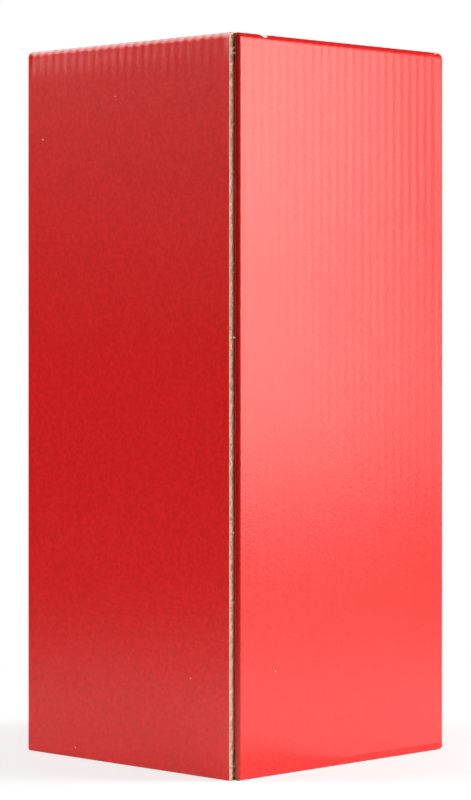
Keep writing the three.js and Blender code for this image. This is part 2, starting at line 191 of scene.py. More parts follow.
# Long torn fibres along the joint: height share, distance from the outer face in mm, length in mm,
# and how steeply they rise.
LONG_FIBRES = [
    (0.977, 1.2, 0.9, 0.4),
    (0.972, 1.5, 0.8, -0.5),
    (0.955, 0.3, 0.6, 0.9),
    (0.795, 0.05, 1.5, 1.6),
    (0.768, 0.05, 0.9, 0.3),
    (0.640, 0.9, 0.6, 0.8),
    (0.592, 1.5, 1.1, -0.3),
    (0.430, 0.4, 0.6, 1.0),
    (0.330, 1.3, 0.5, 0.7),
    (0.118, 0.1, 0.9, 0.5),
    (0.082, 0.05, 1.1, 0.9),
    (0.020, 1.0, 0.7, -0.6),
]

# Specks in the print: wall, distance from the joint, height and radius in mm, and shade.
SPECKS = [
    ("left", 76.4, 174.4, 0.42, "dark"),
    ("left", 76.4, 174.5, 0.24, "pale"),
    ("left", 46.3, 185.2, 0.12, "pale"),
    ("left", 37.7, 76.6, 0.16, "dark"),
    ("left", 47.4, 51.8, 0.16, "dark"),
    ("left", 16.4, 26.2, 0.14, "pale"),
    ("back", 16.0, 28.1, 0.14, "pale"),
    ("left", 62.7, 2.9, 0.16, "pale"),
]

LONG_FIBRE_HALF = 0.26 * MM
SHORT_FIBRES = 260
FIBRE_STEPS = 4
FIBRE_SIDE_GAP = 0.12 * MM
FIBRE_BACK_GAP = 0.05 * MM
SPECK_SIDES = 8

# The middle layer in view: its ragged end as (size, waves, shift), and its inset from the cut.
RIBBON_STEPS = 10
RIBBON_INSET = 0.12 * MM
RIBBON_RAGS = ((0.06 * MM, 5200, 0), (0.05 * MM, 2300, 1))
WANDER_STEP = 0.09
EDGE_DEPTHS = (0.12, 0.06, 0.2, 0.08, 0.15)  # in mm, from the outer liner to the inner one
EDGE_RAG = 0.6  # in mm, how much deeper the paper is torn in places
EDGE_CURL_REACH = 2.4 * MM
EDGE_CURL_INSET = 0.25 * MM
EDGE_CURL_RAG = 0.1 * MM

random.seed(7)
noise = np.random.default_rng(11)


# Lines and grids

def unit(vector):
    """A direction of length 1."""
    return vector / np.linalg.norm(vector)


def tangents(path):
    """The direction of a path at each of its points."""
    steps = np.gradient(path, axis=0)
    return steps / np.linalg.norm(steps, axis=1)[:, None]


def turned(vector, angle):
    """A flat vector turned by an angle."""
    x, y = vector
    return (x * math.cos(angle) - y * math.sin(angle), x * math.sin(angle) + y * math.cos(angle))


def fillet(before, corner, after, radius, steps):
    """An arc that rounds a corner between two straight lines."""
    back = unit(before - corner)
    ahead = unit(after - corner)
    half = math.acos(max(-1.0, min(1.0, float(back @ ahead)))) / 2
    centre = corner + unit(back + ahead) * radius / math.sin(half)
    start = corner + back * radius / math.tan(half) - centre
    turn = math.copysign(math.pi - 2 * half, ahead[0] * back[1] - ahead[1] * back[0])
    return [centre + turned(start, turn * k / steps) for k in range(steps + 1)]


def filleted(corners, radii, straight_step, arc_steps=8):
    """Points along a line, with an arc at each inner corner and each straight cut in steps."""
    corners = [np.array(c, float) for c in corners]
    arcs = []
    for i, radius in enumerate(radii[:len(corners) - 2], start=1):
        arcs.append(fillet(corners[i - 1], corners[i], corners[i + 1], radius, arc_steps))
    line = []
    last = corners[0]
    for arc in arcs + [[corners[-1]]]:
        length = np.linalg.norm(arc[0] - last)
        steps = max(1, int(round(length / straight_step)))
        line += [last + (arc[0] - last) * k / steps for k in range(steps)]
        line += list(arc[:-1])
        last = arc[-1]
    line.append(last)
    return np.array(line)


def offset_line(corners, distance):
    """The corners of a line moved to its left."""
    corners = [np.array(c, float) for c in corners]
    moved = []
    for i, corner in enumerate(corners):
        before = corner - corners[i - 1] if i else corners[1] - corner
        after = corners[i + 1] - corner if i < len(corners) - 1 else before
        before = unit(before)
        after = unit(after)
        a = np.array((-before[1], before[0]))
        b = np.array((-after[1], after[0]))
        moved.append(corner + (a + b) * distance / (1 + a @ b))
    return moved


def crest_overshoot(radius):
    """How far a dipping flap's lines cross outside its fold, so that the arc just touches the edge."""
    bend = radius * (math.cos(DIP_ANGLE) - 1)
    return bend + radius * (1 + math.sin(DIP_ANGLE)) * math.tan(DIP_ANGLE)


def dip_reach(radius, depth):
    """How far inwards a dipping flap gets down to its depth."""
    return (crest_overshoot(radius) + depth) / math.tan(DIP_ANGLE)


def add_grid(mesh, grid, flip=False):
    """Adds a grid of points to a bmesh as quads."""
    rows = [[mesh.verts.new(tuple(p)) for p in row] for row in grid]
    for i in range(len(rows) - 1):
        for j in range(len(rows[0]) - 1):
            corners = [rows[i][j], rows[i + 1][j], rows[i + 1][j + 1], rows[i][j + 1]]
            if flip:
                corners.reverse()
            mesh.faces.new(corners).smooth = True


def weld(mesh, distance=WELD):
    """Joins points that lie together."""
    bmesh.ops.remove_doubles(mesh, verts=mesh.verts, dist=distance)
    bmesh.ops.dissolve_degenerate(mesh, edges=mesh.edges, dist=FINE_WELD)


def add_object(name, data):
    """Makes an object and puts it in the scene."""
    made = bpy.data.objects.new(name, data)
    bpy.context.scene.collection.objects.link(made)
    return made


def piece_from(mesh, name, materials, body="carton"):
    """Makes a piece of a bmesh and lets it ride on a body, where it has one."""
    data = bpy.data.meshes.new(name)
    mesh.to_mesh(data)
    mesh.free()
    for material in materials:
        data.materials.append(material)
    piece = add_object(name, data)
    if body:
        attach(piece, body)
    return piece


def sharpen(data):
    """Keeps the shading crisp where a sheet's face meets its rim."""
    mesh = bmesh.new()
    mesh.from_mesh(data)
    for edge in mesh.edges:
        edge.smooth = edge.calc_face_angle(0) < SHARP_ANGLE
    mesh.to_mesh(data)
    mesh.free()


def thickened(piece, thickness=LINER, rim=1, back=1):
    """Gives a one-sided sheet its thickness, away from its outward side. rim and back say how many
    material slots further the rim and the back side are."""
    solid = piece.modifiers.new("thickness", "SOLIDIFY")
    solid.thickness = thickness
    solid.offset = -1
    solid.use_even_offset = True
    solid.use_quality_normals = True
    solid.material_offset = back
    solid.material_offset_rim = rim
    graph = bpy.context.evaluated_depsgraph_get()
    data = bpy.data.meshes.new_from_object(piece.evaluated_get(graph), depsgraph=graph)
    piece.modifiers.clear()
    sharpen(data)
    old = piece.data
    piece.data = data
    bpy.data.meshes.remove(old)


def add_middle_layer(name, grid, material, body, flip=False):
    """A strip of the paper between the two liners."""
    mesh = bmesh.new()
    add_grid(mesh, np.array(grid), flip)
    piece = piece_from(mesh, name, [material], body)
    thickened(piece, MEDIUM, rim=0, back=0)


# Walls and their flaps

class Wall:
    """A wall's own frame: s runs along it, u runs inwards, z is up."""

    def __init__(self, name, origin, along, length):
        self.name = name
        self.origin = np.array(origin, float)
        self.along = np.array(along, float)
        self.inward = np.array((-self.along[1], self.along[0]))
        self.length = length

    def place(self, s, u, z):
        """Points in the scene for places in the wall's frame."""
        xy = self.origin + np.multiply.outer(s, self.along) + np.multiply.outer(u, self.inward)
        return np.concatenate([xy, np.array(z)[..., None]], axis=-1)


BACK_WALL = Wall("back", (LEFT, BACK), (1, 0), WIDTH)
RIGHT_WALL = Wall("right", (RIGHT, BACK), (0, 1), DEPTH)
FRONT_WALL = Wall("front", (RIGHT, FRONT), (-1, 0), WIDTH)
LEFT_WALL = Wall("left", (LEFT, FRONT), (0, -1), DEPTH)
WALLS = [BACK_WALL, RIGHT_WALL, FRONT_WALL, LEFT_WALL]


def rib(s):
    """How far the outer face dips between two flutes."""
    return 0.5 * (1 - np.cos(2 * math.pi * s / PITCH))


def wall_columns(start, end, per_pitch=6):
    """Evenly spaced places along a wall, a few for each flute."""
    count = int(round((end - start) / PITCH * per_pitch))
    return np.linspace(start, end, count + 1)


def rib_strength(wall, z):
    """Ribs show most near the top, and more on the left wall."""
    strength, least, power = LEFT_RIBS if wall is LEFT_WALL else OTHER_RIBS
    share = np.clip(z / HEIGHT, 0, 1)
    return strength * (least + (1 - least) * share ** power)


def shoulder(wall, z):
    """The left wall leans in a little just below its top fold."""
    rise = np.clip((z - (FOLD_START - SHOULDER_HEIGHT)) / SHOULDER_HEIGHT, 0, 1)
    return (SHOULDER_DEPTH if wall is LEFT_WALL else 0) * rise ** 2


def fade_at_ends(value, low, high, distance):
    """0 at low and at high, and 1 where value is farther than a distance from both."""
    return np.clip(np.minimum(value - low, high - value) / distance, 0, 1)


def wall_surface(wall, columns, heights):
    """The flat part of a wall's outer face, ribbed by its flutes."""
    s, z = np.meshgrid(columns, heights, indexing="ij")
    margin = fade_at_ends(s, columns[0], columns[-1], RIB_MARGIN)
    ends = fade_at_ends(z, heights[0], heights[-1], WAVE_MARGIN)
    depth = RIB_DEPTH * rib_strength(wall, z) * rib(s) + shoulder(wall, z)
    phase = s * WAVE_ALONG + z * WAVE_UP + wall.length * WAVE_SHIFT
    slow = WAVE_DEPTH * np.abs(np.sin(phase))
    return wall.place(s, (depth + slow * ends) * margin + SKIN, z)


def fold_surface(wall, columns, path, ranges, bulge, turn=1):
    """A fold and its flap: path holds (u, z) points, ranges the strip's two sides at each point.
    turn is 1 for a path that leaves the wall upwards and -1 for one that leaves it downwards."""
    tangent = tangents(path)
    if path[0, 0] <= BOARD:
        tangent[0] = (0, turn)
    grid = np.zeros((len(columns), len(path), 3))
    whole = columns[-1] - columns[0]
    margin = fade_at_ends(columns, columns[0], columns[-1], RIB_MARGIN)
    for k, (u, z) in enumerate(path):
        low, high = ranges[k]
        s = low + (columns - columns[0]) * (high - low) / whole
        lean = shoulder(wall, FOLD_START) if turn > 0 else 0
        lean *= max(0, 1 - u / TOP_RADIUS) ** 2
        deep = LEFT_FOLD_RIBS if wall is LEFT_WALL and k else 1
        dip = ((bulge[k] * deep * rib(columns) + lean) * margin + SKIN) * turn
        grid[:, k] = wall.place(s, u + dip * tangent[k][1], z - dip * tangent[k][0])
    return grid


def quarter_turn(steps):
    """Evenly spaced angles of a quarter circle."""
    return [0.5 * math.pi * k / steps for k in range(steps + 1)]


def closing_rings(radius, rings):
    """The pinched top of an upright fold, as (reach, z) rings that close as the top folds turn in."""
    closing = math.acos(1 - radius / TOP_RADIUS)
    made = []
    for r in range(rings + 1):
        t = closing * r / rings
        reach = max(radius - TOP_RADIUS * (1 - math.cos(t)) - SKIN, PINCH)
        made.append((reach, FOLD_START + (TOP_RADIUS - SKIN) * math.sin(t)))
    return made


def upright_fold(first, second, centre, rings, steps):
    """A quarter turn between two walls, through (reach in x, reach in y, z) rings about a centre."""
    grid = []
    for a in quarter_turn(steps):
        out = -first.inward * math.cos(a) - second.inward * math.sin(a)
        grid.append([(*(centre + out * (reach_x, reach_y)), z) for reach_x, reach_y, z in rings])
    return np.array(grid)


def corner_grids(first, second):
    """The upright fold between two walls and its pinched top, which closes in x only beside the
    front wall, because that wall's top isn't folded in."""
    centre = second.origin + FAR_RADIUS * (second.inward + first.inward)
    full = FAR_RADIUS - SKIN
    at_front = FRONT_WALL in (first, second)
    side = [(full, full, z) for z in HEIGHTS]
    cap = [(reach, full if at_front else reach, z) for reach, z in closing_rings(FAR_RADIUS, 6)]
    return [upright_fold(first, second, centre, rings, 8) for rings in (side, cap)]


def folded_path(corners, radii, step, inner=False, turn=1):
    """A flap's outer face as (u, z) points, or its inner face, one board away."""
    if inner:
        corners = offset_line(corners, -turn * BOARD)
        radii = [max(radii[0] - BOARD, LEAST_RADIUS)] + [r + BOARD for r in radii[1:]]
    return filleted(corners, radii, step)


def dust_corners():
    """A flap under the lid, which dips to lie below it."""
    depth = BOARD + DUST_CLEARANCE
    return [(0, HEIGHT - FOLD_LEAD),
            (0, HEIGHT + crest_overshoot(TOP_RADIUS)),
            (dip_reach(TOP_RADIUS, depth), HEIGHT - depth),
            (DUST_LENGTH, HEIGHT - depth)]


def bottom_corners(depth, length):
    """A bottom flap that rises to a depth inside the carton."""
    return [(0, FOLD_LEAD),
            (0, -crest_overshoot(BOTTOM_RADIUS)),
            (dip_reach(BOTTOM_RADIUS, depth), depth),
            (length, depth)]


def lock_corners():
    """The last bottom flap: flat on the ground, then a ramp up to the tongue inside."""
    slot = DEPTH - SLOT_FLAP_LENGTH + SLOT_DEPTH
    return [(0, FOLD_LEAD),
            (0, 0),
            (slot - RAMP_RUN, 0),
            (slot, 3 * LAYER),
            (slot + TONGUE_LENGTH, 3 * LAYER)]


def lid_corners():
    """The lid, level with the top, and its tuck flap, which leans inwards."""
    tip = DEPTH - BOARD - LID_FRONT_GAP
    lean = TUCK_LENGTH * math.tan(TUCK_LEAN)
    return [(0, HEIGHT - FOLD_LEAD),
            (0, HEIGHT),
            (tip, HEIGHT),
            (tip - lean, HEIGHT - TUCK_LENGTH)]


# The heights at which a wall's face has points, with a close pair at each fold.
LOW_PAIR = [BOTTOM_RADIUS, BOTTOM_RADIUS + 0.15 * MM]
HIGH_PAIR = [FOLD_START - 0.3 * MM, FOLD_START]
HEIGHTS = np.concatenate([LOW_PAIR, np.linspace(4 * MM, HEIGHT - 5 * MM, 58), HIGH_PAIR])


def wall_limits(wall):
    """Where the flat part of a wall starts and ends along s."""
    start = FAR_RADIUS
    end = wall.length - FAR_RADIUS
    if wall is BACK_WALL:
        start = BOARD + CORNER_RADIUS
    if wall is LEFT_WALL:
        end = wall.length - JOINT_SETBACK
    return start, end


def range_table(path, table):
    """The two sides of a flap at each point of its path, read off (u, start, end) rows."""
    us, lows, highs = zip(*table)
    u = path[:, 0]
    return list(zip(np.interp(u, us, lows), np.interp(u, us, highs)))


def fold_bulge(path, radius, depth):
    """How deep the flutes show along a fold: most just past the wall, none on the flat flap."""
    u = path[:, 0]
    return depth * np.interp(u, [0, 0.25 * radius, 0.9 * radius, 2.2 * radius], [0.3, 1, 0.6, 0])


def dust_table(wall):
    """A side flap under the lid: full length at the fold, cut back behind it, chamfered at its end."""
    low, high = wall_limits(wall)
    near = DUST_FRONT_CUT if wall is LEFT_WALL else DUST_BACK_CUT
    far = wall.length - (DUST_BACK_CUT if wall is LEFT_WALL else DUST_FRONT_CUT)
    return [(0, low, high),
            (DUST_ROOT, low, high),
            (DUST_ROOT + TINY, near, far),
            (DUST_LENGTH - DUST_CHAMFER, near, far),
            (DUST_LENGTH, near + DUST_CHAMFER, far - DUST_CHAMFER)]


def side_bottom_table(wall):
    """A side flap of the bottom: chamfered at the back, cut clear of the tongue at the front."""
    low, high = wall_limits(wall)
    reach = RIGHT - TONGUE - TONGUE_CLEARANCE
    near = BOARD + SIDE_FLAP_GAP
    far = wall.length - SIDE_FLAP_SETBACK
    root = dip_reach(BOTTOM_RADIUS, LAYER)
    ramp = FRONT - SLOT_FLAP_LENGTH + SLOT_DEPTH - RAMP_RUN - TONGUE_CLEARANCE - BACK
    start = SIDE_FLAP_LENGTH - SIDE_FLAP_CHAMFER
    slope = near + reach - start
    rows = [(root + TINY, near, far),
            (reach - SIDE_FLAP_CHAMFER, near, far),
            (start, near, far - (start - reach + SIDE_FLAP_CHAMFER)),
            (reach, slope, far - SIDE_FLAP_CHAMFER),
            (reach + TINY, slope, ramp),
            (SIDE_FLAP_LENGTH, near + SIDE_FLAP_CHAMFER, ramp)]
    if wall is LEFT_WALL:
        rows = [(u, wall.length - b, wall.length - a) for u, a, b in rows]
    return [(0, low, high), (root, low, high)] + rows


def lock_table():
    """The last bottom flap: full width, sloping shoulders, then the tongue with round corners."""
    side = dip_reach(BOTTOM_RADIUS, BOARD) + LOCK_SIDE_GAP
    ramp = DEPTH - SLOT_FLAP_LENGTH + SLOT_DEPTH - RAMP_RUN
    round_start = ramp + RAMP_RUN + TONGUE_LENGTH - TONGUE_ROUND
    middle = WIDTH / 2
    rows = [(0, side, WIDTH - side),
            (ramp - LOCK_SHOULDER, side, WIDTH - side),
            (ramp, middle - TONGUE, middle + TONGUE)]
    for a in quarter_turn(6):
        half = TONGUE - TONGUE_ROUND * (1 - math.cos(a))
        rows.append((round_start + TONGUE_ROUND * math.sin(a), middle - half, middle + half))
    return rows


def slot_tables():
    """The slotted bottom flap in three strips: its root, and a prong on each side of the slot."""
    setback = SIDE_FLAP_SETBACK
    slot = TONGUE + TONGUE_CLEARANCE
    middle = WIDTH / 2
    deep = SLOT_FLAP_LENGTH - SLOT_DEPTH
    taper = SLOT_FLAP_TAPER * (deep - setback) / (SLOT_FLAP_LENGTH - setback)
    root = [(0, CORNER_SLIT, WIDTH - CORNER_SLIT),
            (BOARD, CORNER_SLIT, WIDTH - CORNER_SLIT),
            (setback, setback, WIDTH - setback),
            (deep, setback + taper, WIDTH - setback - taper)]
    end = setback + SLOT_FLAP_TAPER
    first = [(deep, setback + taper, middle - slot), (SLOT_FLAP_LENGTH, end, middle - slot)]
    second = [(u, WIDTH - b, WIDTH - a) for u, a, b in first]
    return root, first, second


def with_stops(path, stops, start):
    """A path with extra points where its flap's outline turns, past a given u."""
    u = path[:, 0]
    first = int(np.argmax(u > start))
    merged = sorted(set(list(u[first:]) + [x for x in stops if start < x < u[-1]]))
    z = np.interp(merged, u[first:], path[first:, 1])
    return np.vstack([path[:first], np.column_stack([merged, z])])


def flap_grid(wall, columns, corners, radii, table, bulge=0, inner=False, turn=1, begin=None):
    """One face of a fold with its flap, begun at the wall where the flat part of the wall ends."""
    path = folded_path(corners, radii, PATH_STEP, inner, turn)
    path = with_stops(path, [row[0] for row in table], path[path[:, 0].argmin(), 0] + STOPS_START)
    if begin is not None and not (inner and turn < 0):
        keep = turn * (path[:, 1] - begin) > FINE_WELD
        keep[np.argmax(keep):] = True
        path = np.vstack([[(path[0, 0], begin)], path[keep]])
    ranges = range_table(path, table)
    depth = fold_bulge(path, TOP_RADIUS, bulge)
    depth[0] = RIB_DEPTH * rib_strength(wall, path[0, 1]) if bulge else 0
    return fold_surface(wall, columns, path, ranges, depth, turn)


def glue_fold_grids():
    """The upright fold that goes on behind the left wall's cut edge, and its pinched top."""
    centre = np.array((LEFT + BOARD + CORNER_RADIUS, BACK + CORNER_RADIUS))
    wide = CORNER_RADIUS - JOINT_GAP
    full = CORNER_RADIUS - SKIN
    side = [(wide, full, z) for z in HEIGHTS]
    cap = [(reach * wide / full, reach, z) for reach, z in closing_rings(CORNER_RADIUS, 8)]
    return [upright_fold(BACK_WALL, LEFT_WALL, centre, rings, 10)[::-1] for rings in (side, cap)]


def glue_flap_grid(steps=6, rows=30):
    """The flap behind the left wall, with sloping ends."""
    start = BACK + CORNER_RADIUS
    far = BACK + BOARD / 2 + GLUE_FLAP_WIDTH
    x = LEFT + BOARD + JOINT_GAP
    grid = []
    for k in range(steps + 1):
        t = k / steps
        cut = GLUE_FLAP_DROP + GLUE_FLAP_TAPER * t
        heights = np.linspace(cut, HEIGHT - cut, rows + 1)
        grid.append([(x, start + (far - start) * t, z) for z in heights])
    return np.array(grid)[::-1]


def nick_reach(s, u):
    """How near a point of the back fold is to the nick in it: 1 at its middle, 0 outside."""
    across = np.abs(s - NICK_PLACE) / (0.5 * NICK_WIDTH)
    inward = np.where(u < NICK_INSET, (NICK_INSET - u) / NICK_DROP, (u - NICK_INSET) / NICK_RUN)
    return np.clip(1 - across ** 2 - inward ** 2, 0, 1)


def with_nick(grid):
    """Presses the nick, with a ragged bottom, into a grid of points."""
    s = grid[:, :, 0] - LEFT
    u = grid[:, :, 1] - BACK
    near = nick_reach(s, u) ** NICK_ROUNDNESS
    ragged = 1 + NICK_RAG * np.sin(s * NICK_WAVES[0]) * np.cos(u * NICK_WAVES[1])
    grid = grid.copy()
    grid[:, :, 2] -= NICK_DEPTH * near * ragged
    grid[:, :, 1] += NICK_PUSH * NICK_DEPTH * near
    return grid


def bare_nick(piece):
    """Shows bare pulp on the faces inside the nick, less of it over the lid."""
    for face in piece.data.polygons:
        s = face.center.x - LEFT
        u = face.center.y - BACK
        least = BARE_REACH + BARE_FADE * max(0, u - BARE_END)
        if nick_reach(s, u) > least:
            face.material_index = PULP_SLOT


def fine_columns(columns):
    """The same columns, closer together around the nick."""
    extra = np.arange(NICK_PLACE - NICK_WIDTH, NICK_PLACE + NICK_WIDTH, NICK_STEP)
    clear = columns[np.abs(columns - NICK_PLACE) > NICK_WIDTH]
    return np.sort(np.concatenate([clear, extra]))


def back_curl(columns, low, high):
    """The back wall's top fold beside the lid, where the wall's cut end only curls in."""
    path = folded_path(lid_corners()[:3], [TOP_RADIUS], PATH_STEP)
    path = path[path[:, 1] > FOLD_START + FINE_WELD]
    path = path[path[:, 0] < CURL_REACH]
    path = np.vstack([[(0, FOLD_START)], path])
    bulge = fold_bulge(path, TOP_RADIUS, 0.5 * ROLL_RIB_DEPTH)
    bulge[0] = RIB_DEPTH * rib_strength(BACK_WALL, path[0, 1])
    ranges = [(columns[0], columns[-1])] * len(path)
    whole = fold_surface(BACK_WALL, columns, path, ranges, bulge)
    return whole[(columns >= low - SLACK) & (columns <= high + SLACK)]


def printed_walls():
    """The printed face of the four walls, the upright folds and the two flaps under the lid."""
    mesh = bmesh.new()
    for wall in WALLS:
        start, end = wall_limits(wall)
        columns = wall_columns(start, end)
        heights = HEIGHTS
        if wall is FRONT_WALL:
            heights = np.append(HEIGHTS, HEIGHT - FRONT_EDGE_DROP)
        add_grid(mesh, wall_surface(wall, columns, heights))
        if wall in (RIGHT_WALL, LEFT_WALL):
            grid = flap_grid(wall, columns, dust_corners(), DUST_RADII,
                             dust_table(wall), ROLL_RIB_DEPTH, begin=FOLD_START)
            add_grid(mesh, grid)
        if wall is BACK_WALL:
            add_grid(mesh, back_curl(columns, start, LID_SIDE + LID_OVERLAP))
            add_grid(mesh, back_curl(columns, wall.length - LID_SIDE - LID_OVERLAP, end))
    grids = []
    for first, second in zip(WALLS, WALLS[1:]):
        grids += corner_grids(first, second)
    for grid in grids + glue_fold_grids() + [glue_flap_grid()]:
        add_grid(mesh, grid)
    weld(mesh)
    return mesh


def kraft_walls():
    """The bare inner face of the walls and of the two flaps under the lid."""
    mesh = bmesh.new()
    for wall in WALLS:
        start = BOARD + CORNER_RADIUS if wall is BACK_WALL else BOARD
        end = wall.length - (JOINT_SETBACK if wall is LEFT_WALL else BOARD)
        columns = np.linspace(start, end, 25)
        top = HEIGHT - (FRONT_EDGE_DROP if wall is FRONT_WALL else TOP_RADIUS)
        heights = np.linspace(KRAFT_START, top, 31)
        s, z = np.meshgrid(columns, heights, indexing="ij")
        add_grid(mesh, wall.place(s, 0 * s + BOARD, z), flip=True)
        if wall in (RIGHT_WALL, LEFT_WALL):
            grid = flap_grid(wall, columns, dust_corners(), DUST_RADII,
                             dust_table(wall), inner=True, begin=FOLD_START)
            add_grid(mesh, grid, flip=True)
    weld(mesh)
    return mesh


def board_flap(name, wall, corners, radii, tables, columns=60):
    """A bottom flap's two liners, as closed sheets: the printed one outside, the kraft one inside."""
    start, end = wall_limits(wall)
    columns = np.linspace(start, end, columns)
    for inner in (False, True):
        mesh = bmesh.new()
        for table in tables:
            grid = flap_grid(wall, columns, corners, radii, table, 0, inner, -1, BOTTOM_RADIUS)
            u = (grid[0, :, :2] - wall.origin) @ wall.inward
            if table[0][0] > 0:
                grid = grid[:, u >= table[0][0] - SLACK]
            elif len(tables) > 1:
                grid = grid[:, u <= table[-1][0] + SLACK]
            add_grid(mesh, grid, flip=not inner)
        weld(mesh)
        if inner:
            piece = piece_from(mesh, name + "_inside", [EDGE, BARE] * 2)
            thickened(piece, rim=0, back=0)
        else:
            piece = piece_from(mesh, name + "_print", [PRINT, EDGE, BARE])
            thickened(piece)


def medium_ribbon(name, origin, across, through, out, width, body, depth=7 * MM):
    """The wavy middle layer just inside a cut end, in view between the two liners."""
    across, through, out = (np.array(v, float) for v in (across, through, out))
    count = int(width / PITCH * RIBBON_STEPS)
    grid = []
    for k in range(count + 1):
        x = width * k / count
        y = BOARD / 2 + FLUTE_SWING * math.cos(2 * math.pi * x / PITCH)
        ragged = sum(size * math.sin(x * waves + shift) for size, waves, shift in RIBBON_RAGS)
        row = []
        for d in (0, 0.5 * depth, depth):
            row.append(np.array(origin) + across * x + through * y - out * (RIBBON_INSET + ragged + d))
        grid.append(row)
    add_middle_layer(name, grid, FLUTE, body)


def edge_medium(name, origin, along, through, inward, length, body, material, steps):
    """The middle layer along a cut that runs with the flutes: it wanders between the liners."""
    along, through, inward = (np.array(v, float) for v in (along, through, inward))
    wander = np.cumsum(noise.normal(0, WANDER_STEP, steps + 1))
    wander -= np.linspace(wander[0], wander[-1], steps + 1)
    grid = []
    for k in range(steps + 1):
        at = np.array(origin) + along * length * k / steps
        middle = 0.5 + 0.25 * math.tanh(wander[k])
        row = []
        for depth, share in zip(EDGE_DEPTHS, (0, 0.25, middle, 0.75, 1)):
            reach = LINER + MEDIUM / 2 + 2 * FLUTE_SWING * share
            depth = (depth + EDGE_RAG * noise.random() ** 3) * MM
            row.append(at + inward * depth + through * reach)
        grid.append(row)
    add_middle_layer(name, grid, material, body)


# Materials

# Noise scales of the film over the print, and its roughness.
MOTTLE_SCALE = 1000
GLOSS_SCALE = 420
PEEL_SCALE = 1300
SWELL_SCALE = 90
FILM_ROUGHNESS = (0.145, 0.19)
MIDDLE_OF_NOISE = (0.3, 0.7)
FILM_TINT = (1, 1, 0.88)


def new_material(name, color, roughness, specular=0.5):
    """A material, with its node tree and its shader."""
    material = bpy.data.materials.new(name)
    material.use_nodes = True
    shader = material.node_tree.nodes["Principled BSDF"]
    shader.inputs["Base Color"].default_value = (*color, 1)
    shader.inputs["Roughness"].default_value = roughness
    shader.inputs["Specular IOR Level"].default_value = specular
    shader.inputs["Specular Tint"].default_value = (*FILM_TINT, 1)
    return material, material.node_tree, shader


def node(tree, kind, **settings):
    """A new node. A setting goes to the input of its name, or else to the node itself."""
    made = tree.nodes.new(kind)
    for key, value in settings.items():
        if key in made.inputs:
            made.inputs[key].default_value = value
        else:
            setattr(made, key, value)
    return made


def map_range(tree, source, source_range=(0, 1), result_range=(0, 1), kind="LINEAR"):
    """A value moved from one range to another."""
    made = node(tree, "ShaderNodeMapRange", interpolation_type=kind)
    names = ("From Min", "From Max", "To Min", "To Max")
    for name, value in zip(names, (*source_range, *result_range)):
        made.inputs[name].default_value = value
    tree.links.new(source, made.inputs["Value"])
    return made.outputs["Result"]


def object_coordinates(tree, scale=(1, 1, 1)):
    """The place on a piece, in metres, stretched by a scale."""
    coordinates = node(tree, "ShaderNodeTexCoord")
    mapping = node(tree, "ShaderNodeMapping", Scale=scale)
    tree.links.new(coordinates.outputs["Object"], mapping.inputs["Vector"])
    return mapping.outputs["Vector"]


def noise_node(tree, vector, scale, detail=3, roughness=0.5):
    """Fractal noise."""
    made = node(tree, "ShaderNodeTexNoise", Scale=scale, Detail=detail, Roughness=roughness)
    tree.links.new(vector, made.inputs["Vector"])
    return made.outputs["Fac"]


def ramp(tree, source, stops):
    """Colours for a value, as (position, colour) stops."""
    made = node(tree, "ShaderNodeValToRGB")
    elements = made.color_ramp.elements
    while len(elements) < len(stops):
        elements.new(1)
    for element, (position, color) in zip(elements, stops):
        element.position = position
        element.color = (*color, 1)
    tree.links.new(source, made.inputs["Fac"])
    return made.outputs["Color"]


def bump(tree, shader, height, strength, distance, after=None):
    """Fine relief for a shader, on top of an earlier relief where there is one."""
    made = node(tree, "ShaderNodeBump", Strength=strength, Distance=distance)
    tree.links.new(height, made.inputs["Height"])
    if after is not None:
        tree.links.new(after, made.inputs["Normal"])
    tree.links.new(made.outputs["Normal"], shader.inputs["Normal"])
    return made.outputs["Normal"]


def printed_material():
    """Red print under a glossy film, with the film's fine unevenness over the board."""
    material, tree, shader = new_material("red_laminate", RED, 0.3)
    place = object_coordinates(tree)
    mottle = noise_node(tree, place, MOTTLE_SCALE, 2, 0.6)
    dark = tuple(0.84 * c for c in RED)
    pale = tuple(1.12 * c for c in RED)
    color = ramp(tree, mottle, list(zip(MIDDLE_OF_NOISE, (dark, pale))))
    tree.links.new(color, shader.inputs["Base Color"])
    rough = noise_node(tree, place, GLOSS_SCALE, 3, 0.6)
    roughness = map_range(tree, rough, MIDDLE_OF_NOISE, FILM_ROUGHNESS)
    tree.links.new(roughness, shader.inputs["Roughness"])
    peel = noise_node(tree, place, PEEL_SCALE, 2, 0.6)
    swell = noise_node(tree, object_coordinates(tree, (1, 1, 0.12)), SWELL_SCALE, 2, 0.5)
    first = bump(tree, shader, swell, 0.2, 0.1 * MM)
    bump(tree, shader, peel, 0.7, 0.06 * MM, first)
    return material


def kraft_material(name, color, scale, dark_share=0.72, light_share=1.18):
    """Unbleached liner: fibres, flecks and a dull surface."""
    material, tree, shader = new_material(name, color, 0.85, 0.25)
    fibres = noise_node(tree, object_coordinates(tree, (1, 1, 0.25)), scale, 5, 0.7)
    dark = tuple(dark_share * c for c in color)
    light = tuple(min(1, light_share * c) for c in color)
    shade = ramp(tree, fibres, [(0.25, dark), (0.52, color), (0.78, light)])
    tree.links.new(shade, shader.inputs["Base Color"])
    bump(tree, shader, fibres, 0.5, 0.08 * MM)
    return material


# The parts put together

PRINT = printed_material()
BARE = kraft_material("kraft_liner", KRAFT, 900)
EDGE = kraft_material("cut_kraft_edge", KRAFT_EDGE, 2200, 0.35, 1.5)
FLUTE = kraft_material("flute_paper", tuple(0.8 * c for c in KRAFT), 1500)
INK = kraft_material("ink_specks", (0.06, 0.005, 0.005), 3000)
CUT = kraft_material("cut_flute_paper", CUT_FLUTE, 2600, 0.3, 1.3)
TORN = kraft_material("torn_fibres", PULP, 3000)


